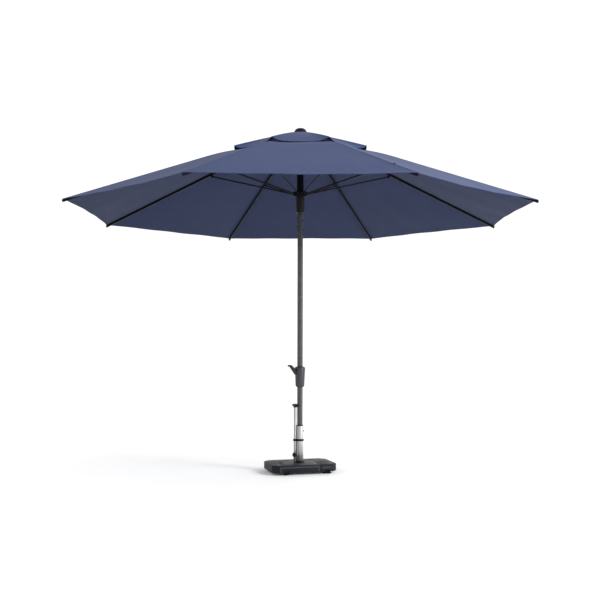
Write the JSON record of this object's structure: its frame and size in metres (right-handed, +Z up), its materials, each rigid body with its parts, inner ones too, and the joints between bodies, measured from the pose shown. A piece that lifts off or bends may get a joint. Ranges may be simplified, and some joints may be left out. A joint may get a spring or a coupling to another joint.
{
  "type": "patio umbrella",
  "caption": "Round crank parasol: ribbed fabric canopy with a vent cap on a tubular mast, clamped in a rolling ballast base.",
  "frame": {"origin": "on the floor under the mast's axis", "axes": "+Z up along the mast, -Y towards the front, ribs turned half a sector from the X axis"},
  "size_m": [3.7074, 3.7074, 2.9697],
  "materials": {
    "canopy_fabric": "matte",
    "rib_paint": "satin",
    "pole_paint": "satin",
    "housing_plastic": "matte",
    "black_plastic": "matte",
    "base_plastic": "matte",
    "stainless_steel": "satin",
    "rubber": "matte",
    "concrete": "matte"
  },
  "bodies": {
    "base": {"base_shell": "base_plastic", "base_end_cover": "base_plastic", "concrete_ballast": "concrete", "wheel_axle": "stainless_steel", "foot_front": "rubber", "foot_rear": "rubber", "tube_flange": "black_plastic", "base_tube": "stainless_steel", "tube_clip": "black_plastic"},
    "bushing": {"pole_bushing": "black_plastic"},
    "mast": {"lower_pole": "pole_paint", "upper_pole": "pole_paint", "pole_joiner": "stainless_steel", "top_hub": "black_plastic", "hub_wire_ring": "stainless_steel", "finial": "black_plastic", "pulley": "black_plastic", "pulley_pin": "stainless_steel", "crank_housing_front": "housing_plastic", "crank_housing_back": "housing_plastic", "vent_cap": "canopy_fabric"},
    "runner": {"runner": "black_plastic", "runner_wire_ring": "stainless_steel"},
    "crank": {"crank_spool": "stainless_steel", "crank_arm": "housing_plastic"},
    "crank_grip": {"crank_grip": "black_plastic"},
    "handle": {"handle_rod": "stainless_steel", "handle_grip": "black_plastic"},
    "clamp_knob": {"clamp_knob": "black_plastic"},
    "clamp_bolt": {"clamp_bolt": "stainless_steel"},
    "wheel_front": {"wheel_front": "rubber"},
    "wheel_rear": {"wheel_rear": "rubber"},
    "rib_1": {"rib_1": "rib_paint", "canopy_sector_1": "canopy_fabric"},
    "strut_1": {"strut_1": "rib_paint"},
    "rib_2": {"rib_2": "rib_paint", "canopy_sector_2": "canopy_fabric"},
    "strut_2": {"strut_2": "rib_paint"},
    "rib_3": {"rib_3": "rib_paint", "canopy_sector_3": "canopy_fabric"},
    "strut_3": {"strut_3": "rib_paint"},
    "rib_4": {"rib_4": "rib_paint", "canopy_sector_4": "canopy_fabric"},
    "strut_4": {"strut_4": "rib_paint"},
    "rib_5": {"rib_5": "rib_paint", "canopy_sector_5": "canopy_fabric"},
    "strut_5": {"strut_5": "rib_paint"},
    "rib_6": {"rib_6": "rib_paint", "canopy_sector_6": "canopy_fabric"},
    "strut_6": {"strut_6": "rib_paint"},
    "rib_7": {"rib_7": "rib_paint", "canopy_sector_7": "canopy_fabric"},
    "strut_7": {"strut_7": "rib_paint"},
    "rib_8": {"rib_8": "rib_paint", "canopy_sector_8": "canopy_fabric"},
    "strut_8": {"strut_8": "rib_paint"}
  },
  "joints": [
    {"name": "mast_swivel", "type": "hinge", "parent": "base", "child": "bushing", "pos_m": [0, 0, 0.39], "axis": [0, 0, 1], "continuous": true},
    {"name": "mast_lift", "type": "slide", "parent": "bushing", "child": "mast", "axis": [0, 0, 1], "range_m": [0, 0.27]},
    {"name": "rib_1_hinge", "type": "hinge", "parent": "mast", "child": "rib_1", "pos_m": [0.04804, 0.0199, 2.82], "axis": [-0.3827, 0.9239, 0], "range_deg": [0, 66.5], "deforming": ["canopy_sector_1", "vent_cap"]},
    {"name": "strut_1_hinge", "type": "hinge", "parent": "rib_1", "child": "strut_1", "pos_m": [0.79916, 0.33102, 2.6047], "axis": [-0.3827, 0.9239, 0], "range_deg": [-133, 0]},
    {"name": "rib_2_hinge", "type": "hinge", "parent": "mast", "child": "rib_2", "pos_m": [0.0199, 0.04804, 2.82], "axis": [-0.9239, 0.3827, 0], "range_deg": [0, 66.5], "deforming": ["canopy_sector_2"]},
    {"name": "strut_2_hinge", "type": "hinge", "parent": "rib_2", "child": "strut_2", "pos_m": [0.33102, 0.79916, 2.6047], "axis": [-0.9239, 0.3827, 0], "range_deg": [-133, 0]},
    {"name": "rib_3_hinge", "type": "hinge", "parent": "mast", "child": "rib_3", "pos_m": [-0.0199, 0.04804, 2.82], "axis": [-0.9239, -0.3827, 0], "range_deg": [0, 66.5], "deforming": ["canopy_sector_3"]},
    {"name": "strut_3_hinge", "type": "hinge", "parent": "rib_3", "child": "strut_3", "pos_m": [-0.33102, 0.79916, 2.6047], "axis": [-0.9239, -0.3827, 0], "range_deg": [-133, 0]},
    {"name": "rib_4_hinge", "type": "hinge", "parent": "mast", "child": "rib_4", "pos_m": [-0.04804, 0.0199, 2.82], "axis": [-0.3827, -0.9239, 0], "range_deg": [0, 66.5], "deforming": ["canopy_sector_4"]},
    {"name": "strut_4_hinge", "type": "hinge", "parent": "rib_4", "child": "strut_4", "pos_m": [-0.79916, 0.33102, 2.6047], "axis": [-0.3827, -0.9239, 0], "range_deg": [-133, 0]},
    {"name": "rib_5_hinge", "type": "hinge", "parent": "mast", "child": "rib_5", "pos_m": [-0.04804, -0.0199, 2.82], "axis": [0.3827, -0.9239, 0], "range_deg": [0, 66.5], "deforming": ["canopy_sector_5"]},
    {"name": "strut_5_hinge", "type": "hinge", "parent": "rib_5", "child": "strut_5", "pos_m": [-0.79916, -0.33102, 2.6047], "axis": [0.3827, -0.9239, 0], "range_deg": [-133, 0]},
    {"name": "rib_6_hinge", "type": "hinge", "parent": "mast", "child": "rib_6", "pos_m": [-0.0199, -0.04804, 2.82], "axis": [0.9239, -0.3827, 0], "range_deg": [0, 66.5], "deforming": ["canopy_sector_6"]},
    {"name": "strut_6_hinge", "type": "hinge", "parent": "rib_6", "child": "strut_6", "pos_m": [-0.33102, -0.79916, 2.6047], "axis": [0.9239, -0.3827, 0], "range_deg": [-133, 0]},
    {"name": "rib_7_hinge", "type": "hinge", "parent": "mast", "child": "rib_7", "pos_m": [0.0199, -0.04804, 2.82], "axis": [0.9239, 0.3827, 0], "range_deg": [0, 66.5], "deforming": ["canopy_sector_7"]},
    {"name": "strut_7_hinge", "type": "hinge", "parent": "rib_7", "child": "strut_7", "pos_m": [0.33102, -0.79916, 2.6047], "axis": [0.9239, 0.3827, 0], "range_deg": [-133, 0]},
    {"name": "rib_8_hinge", "type": "hinge", "parent": "mast", "child": "rib_8", "pos_m": [0.04804, -0.0199, 2.82], "axis": [0.3827, 0.9239, 0], "range_deg": [0, 66.5], "deforming": ["canopy_sector_8"]},
    {"name": "strut_8_hinge", "type": "hinge", "parent": "rib_8", "child": "strut_8", "pos_m": [0.79916, -0.33102, 2.6047], "axis": [0.3827, 0.9239, 0], "range_deg": [-133, 0]},
    {"name": "runner_hinge", "type": "hinge", "parent": "strut_1", "child": "runner", "pos_m": [0.04804, 0.0199, 2.38939], "axis": [-0.3827, 0.9239, 0], "range_deg": [0, 66.5]},
    {"name": "crank_turn", "type": "hinge", "parent": "mast", "child": "crank", "pos_m": [0, 0, 0.848], "axis": [-0.8192, -0.5736, 0], "range_deg": [0, 5400]},
    {"name": "crank_grip_spin", "type": "hinge", "parent": "crank", "child": "crank_grip", "pos_m": [-0.09551, -0.06688, 0.905], "axis": [-0.8192, -0.5736, 0], "continuous": true},
    {"name": "handle_slide", "type": "slide", "parent": "base", "child": "handle", "axis": [0, 0, 1], "range_m": [0, 0.12]},
    {"name": "clamp_knob_turn", "type": "hinge", "parent": "base", "child": "clamp_knob", "pos_m": [-0.04388, -0.04092, 0.148], "axis": [-0.7314, -0.682, 0], "range_deg": [0, 720]},
    {"name": "clamp_bolt_turn", "type": "hinge", "parent": "base", "child": "clamp_bolt", "pos_m": [0.034, 0, 0.347], "axis": [1, 0, 0], "range_deg": [0, 720]},
    {"name": "wheel_front_spin", "type": "hinge", "parent": "base", "child": "wheel_front", "pos_m": [-0.10903, -0.2023, 0.03], "axis": [-0.284, 0.9588, 0], "continuous": true},
    {"name": "wheel_rear_spin", "type": "hinge", "parent": "base", "child": "wheel_rear", "pos_m": [-0.20162, 0.11028, 0.03], "axis": [-0.284, 0.9588, 0], "continuous": true}
  ],
  "couplings": [
    {"joint": "strut_1_hinge", "follows": "rib_1_hinge", "ratio": -2},
    {"joint": "rib_2_hinge", "follows": "rib_1_hinge", "ratio": 1},
    {"joint": "strut_2_hinge", "follows": "rib_1_hinge", "ratio": -2},
    {"joint": "rib_3_hinge", "follows": "rib_1_hinge", "ratio": 1},
    {"joint": "strut_3_hinge", "follows": "rib_1_hinge", "ratio": -2},
    {"joint": "rib_4_hinge", "follows": "rib_1_hinge", "ratio": 1},
    {"joint": "strut_4_hinge", "follows": "rib_1_hinge", "ratio": -2},
    {"joint": "rib_5_hinge", "follows": "rib_1_hinge", "ratio": 1},
    {"joint": "strut_5_hinge", "follows": "rib_1_hinge", "ratio": -2},
    {"joint": "rib_6_hinge", "follows": "rib_1_hinge", "ratio": 1},
    {"joint": "strut_6_hinge", "follows": "rib_1_hinge", "ratio": -2},
    {"joint": "rib_7_hinge", "follows": "rib_1_hinge", "ratio": 1},
    {"joint": "strut_7_hinge", "follows": "rib_1_hinge", "ratio": -2},
    {"joint": "rib_8_hinge", "follows": "rib_1_hinge", "ratio": 1},
    {"joint": "strut_8_hinge", "follows": "rib_1_hinge", "ratio": -2},
    {"joint": "runner_hinge", "follows": "rib_1_hinge", "ratio": 1},
    {"joint": "crank_turn", "follows": "rib_1_hinge", "ratio": 81.193}
  ]
}
